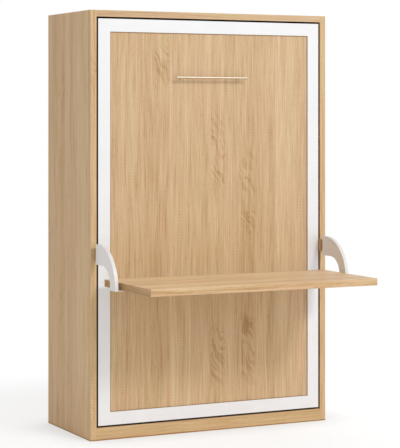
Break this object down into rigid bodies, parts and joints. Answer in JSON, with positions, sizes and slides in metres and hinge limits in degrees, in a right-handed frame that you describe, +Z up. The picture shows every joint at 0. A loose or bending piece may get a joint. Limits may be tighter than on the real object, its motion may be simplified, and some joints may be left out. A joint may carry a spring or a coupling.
{
  "type": "wall bed with fold down desk",
  "caption": "Upright wall bed in an oak-look cabinet, with a desk on curved arms that stays level while the bed is lowered onto its leg.",
  "frame": {"origin": "on the floor, at the middle of the cabinet's front edge", "axes": "+X to the right as seen from the front, +Y back to the wall, +Z up"},
  "size_m": [1.32, 1.153, 2.1],
  "materials": {
    "oak_board": "light sawn-oak decor with upright grain, satin",
    "oak_desk": "light sawn-oak decor with grain along the desk, satin",
    "inner_board": "light oak decor board, satin",
    "back_sheet": "thin fibre sheet with a plain light oak print",
    "joint_plastic": "extruded off-white plastic",
    "white_board": "white lacquered board, satin",
    "white_steel": "white powder coat, satin",
    "dark_steel": "dark grey powder coat, fine texture",
    "zinc_steel": "zinc plated",
    "chrome_rod": "hard chromed and ground",
    "black_barrel": "black enamel, semi-gloss",
    "black_plastic": "moulded nylon",
    "black_rubber": "moulded rubber",
    "brushed_handle": "brushed along its length",
    "beech_slat": "bent beech plywood, lacquered",
    "ticking": "woven white ticking",
    "webbing": "woven dark webbing"
  },
  "bodies": {
    "cabinet": {"side_left": "oak_board", "side_right": "oak_board", "top_panel": "oak_board", "base_panel": "inner_board", "plinth_front": "oak_board", "plinth_back": "inner_board", "back_sheet_lower": "back_sheet", "back_sheet_upper": "back_sheet", "back_joint_strip": "joint_plastic", "wall_rail": "inner_board", "middle_rail": "inner_board", "hinge_plate_left": "dark_steel", "hinge_plate_right": "dark_steel", "hinge_screws": "zinc_steel", "strut_anchor_left": "dark_steel", "strut_anchor_right": "dark_steel", "bed_stops": "black_rubber"},
    "bed": {"trim_left": "white_board", "trim_right": "white_board", "trim_top": "white_board", "trim_bottom": "white_board", "front_panel": "oak_board", "leaf_angles": "zinc_steel", "side_rail_left": "dark_steel", "side_rail_right": "dark_steel", "head_rail": "dark_steel", "foot_rail": "dark_steel", "cross_rails": "dark_steel", "mattress_rest": "dark_steel", "hinge_arm_left": "dark_steel", "hinge_arm_right": "dark_steel", "hinge_bushes": "black_plastic", "desk_axles": "zinc_steel", "leg_axles": "zinc_steel", "slats": "beech_slat", "slat_caps": "black_plastic", "mattress": "ticking", "mattress_straps": "webbing", "handle_bar": "brushed_handle", "handle_posts": "brushed_handle"},
    "desk": {"desk_board": "oak_desk", "desk_arm_left": "white_steel", "desk_arm_right": "white_steel", "desk_lever_left": "dark_steel", "desk_lever_right": "dark_steel", "arm_tongue_left": "dark_steel", "arm_tongue_right": "dark_steel", "desk_screws": "zinc_steel"},
    "leg": {"leg_arm_left": "white_steel", "leg_arm_right": "white_steel", "leg_bar": "white_steel", "leg_sleeves": "black_rubber"},
    "level_rod_left_body": {"level_rod_left": "zinc_steel"},
    "strut_barrel_left_body": {"strut_barrel_left": "black_barrel"},
    "strut_rod_left_body": {"strut_rod_left": "chrome_rod"},
    "level_rod_right_body": {"level_rod_right": "zinc_steel"},
    "strut_barrel_right_body": {"strut_barrel_right": "black_barrel"},
    "strut_rod_right_body": {"strut_rod_right": "chrome_rod"}
  },
  "joints": [
    {"name": "bed_hinge", "type": "hinge", "parent": "cabinet", "child": "bed", "pos_m": [0, 0.06, 0.27], "axis": [1, 0, 0], "range_deg": [0, 90]},
    {"name": "desk_level", "type": "hinge", "parent": "bed", "child": "desk", "pos_m": [0, 0.04, 0.935], "axis": [1, 0, 0], "range_deg": [-90, 0]},
    {"name": "leg_hinge", "type": "hinge", "parent": "bed", "child": "leg", "pos_m": [0, 0.05, 1.934], "axis": [1, 0, 0], "range_deg": [0, 180]},
    {"name": "level_rod_left_hinge", "type": "hinge", "parent": "cabinet", "child": "level_rod_left_body", "pos_m": [-0.6185, 0.1, 0.31], "axis": [1, 0, 0], "range_deg": [0, 90]},
    {"name": "strut_left_hinge", "type": "hinge", "parent": "cabinet", "child": "strut_barrel_left_body", "pos_m": [-0.6165, 0.25, 1.01], "axis": [1, 0, 0], "range_deg": [-14.8, 0]},
    {"name": "strut_left_slide", "type": "slide", "parent": "strut_barrel_left_body", "child": "strut_rod_left_body", "axis": [0, -0.054, -0.9985], "range_m": [-0.1215, 0]},
    {"name": "level_rod_right_hinge", "type": "hinge", "parent": "cabinet", "child": "level_rod_right_body", "pos_m": [0.6185, 0.1, 0.31], "axis": [1, 0, 0], "range_deg": [0, 90]},
    {"name": "strut_right_hinge", "type": "hinge", "parent": "cabinet", "child": "strut_barrel_right_body", "pos_m": [0.6165, 0.25, 1.01], "axis": [1, 0, 0], "range_deg": [-14.8, 0]},
    {"name": "strut_right_slide", "type": "slide", "parent": "strut_barrel_right_body", "child": "strut_rod_right_body", "axis": [0, -0.054, -0.9985], "range_m": [-0.1215, 0]}
  ],
  "couplings": [
    {"joint": "desk_level", "follows": "bed_hinge", "ratio": -1},
    {"joint": "leg_hinge", "follows": "bed_hinge", "ratio": 2},
    {"joint": "level_rod_left_hinge", "follows": "bed_hinge", "ratio": 1},
    {"joint": "strut_left_hinge", "follows": "bed_hinge", "ratio": -0.16396},
    {"joint": "strut_left_slide", "follows": "bed_hinge", "m_per_rad": -0.077185},
    {"joint": "level_rod_right_hinge", "follows": "bed_hinge", "ratio": 1},
    {"joint": "strut_right_hinge", "follows": "bed_hinge", "ratio": -0.16396},
    {"joint": "strut_right_slide", "follows": "bed_hinge", "m_per_rad": -0.077185}
  ]
}
